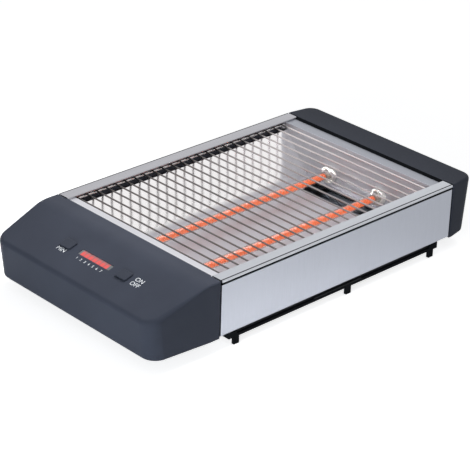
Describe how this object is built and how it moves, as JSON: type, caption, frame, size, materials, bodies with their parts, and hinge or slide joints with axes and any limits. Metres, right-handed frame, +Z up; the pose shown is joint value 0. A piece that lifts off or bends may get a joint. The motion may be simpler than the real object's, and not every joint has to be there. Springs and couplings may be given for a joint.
{
  "type": "flat toaster",
  "caption": "Low table-top toaster: bread lies on a wire rack over glowing quartz heaters in a polished trough, with a sloped control housing at one end and a slide-out crumb tray.",
  "frame": {"origin": "on the table, under the middle of the toaster's box", "axes": "+X along the body away from the control housing, +Y to the rear, +Z up; the front panel faces -Y"},
  "size_m": [0.396, 0.217, 0.0672],
  "materials": {
    "housing_plastic": "fine matt texture, dark bluish anthracite",
    "brushed_panel": "fine vertical brushing, satin",
    "brushed_rail": "brushed along its length, satin",
    "end_plate_steel": "bright rolled sheet",
    "reflector_sheet": "polished, faint rolling lines",
    "rack_wire": "plated wire, slightly heat-tinted",
    "quartz": "satin quartz",
    "glowing_wire": "red-hot resistance wire",
    "white_ceramic": "unglazed",
    "terminal_metal": "plain",
    "lead_sleeve": "glass-fibre sleeve",
    "dark_plastic": "moulded",
    "base_plastic": "matt black moulding",
    "screw_steel": "zinc plated",
    "tray_enamel": "black enamel",
    "key_plastic": "smooth, satin",
    "display_lens": "smoked clear plastic",
    "display_light": "lit red bars",
    "circuit_board": "green solder mask",
    "relay_case": "moulded case",
    "capacitor_case": "moulded case",
    "pale_plastic": "moulded",
    "gland_plastic": "matt black"
  },
  "bodies": {
    "body": {"control_housing": "housing_plastic", "far_housing": "housing_plastic", "front_panel": "brushed_panel", "rear_panel": "brushed_panel", "front_rail": "brushed_rail", "rear_rail": "brushed_rail", "near_end_plate": "end_plate_steel", "far_end_plate": "end_plate_steel", "reflector": "reflector_sheet", "wire_rack": "rack_wire", "front_quartz_tube": "quartz", "rear_quartz_tube": "quartz", "front_heating_coil": "glowing_wire", "rear_heating_coil": "glowing_wire", "front_tube_ceramics": "white_ceramic", "rear_tube_ceramics": "white_ceramic", "tube_terminals": "terminal_metal", "tube_link_wire": "lead_sleeve", "heater_leads": "lead_sleeve", "thermal_cutout": "dark_plastic", "base_pan": "base_plastic", "base_screws": "screw_steel", "housing_screws": "screw_steel", "key_switches": "dark_plastic", "display_window": "display_lens", "display_block": "dark_plastic", "display_bars": "display_light", "control_board": "circuit_board", "board_screws": "screw_steel", "power_board": "circuit_board", "relay": "relay_case", "supply_capacitor": "capacitor_case", "terminal_block": "pale_plastic", "cord_gland": "gland_plastic", "gland_nut": "gland_plastic"},
    "crumb_tray": {"crumb_tray": "tray_enamel"},
    "timer_key": {"timer_key": "key_plastic", "timer_plunger": "dark_plastic"},
    "start_key": {"start_key": "key_plastic", "start_plunger": "dark_plastic"}
  },
  "joints": [
    {"name": "crumb_tray_slide", "type": "slide", "parent": "body", "child": "crumb_tray", "axis": [0, -1, 0], "range_m": [0, 0.18]},
    {"name": "timer_key_press", "type": "slide", "parent": "body", "child": "timer_key", "axis": [0.284, 0, -0.9588], "range_m": [0, 0.0008], "stiffness_N_per_m": 1500, "springref_m": -0.0006},
    {"name": "start_key_press", "type": "slide", "parent": "body", "child": "start_key", "axis": [0.284, 0, -0.9588], "range_m": [0, 0.0008], "stiffness_N_per_m": 1500, "springref_m": -0.0006}
  ]
}
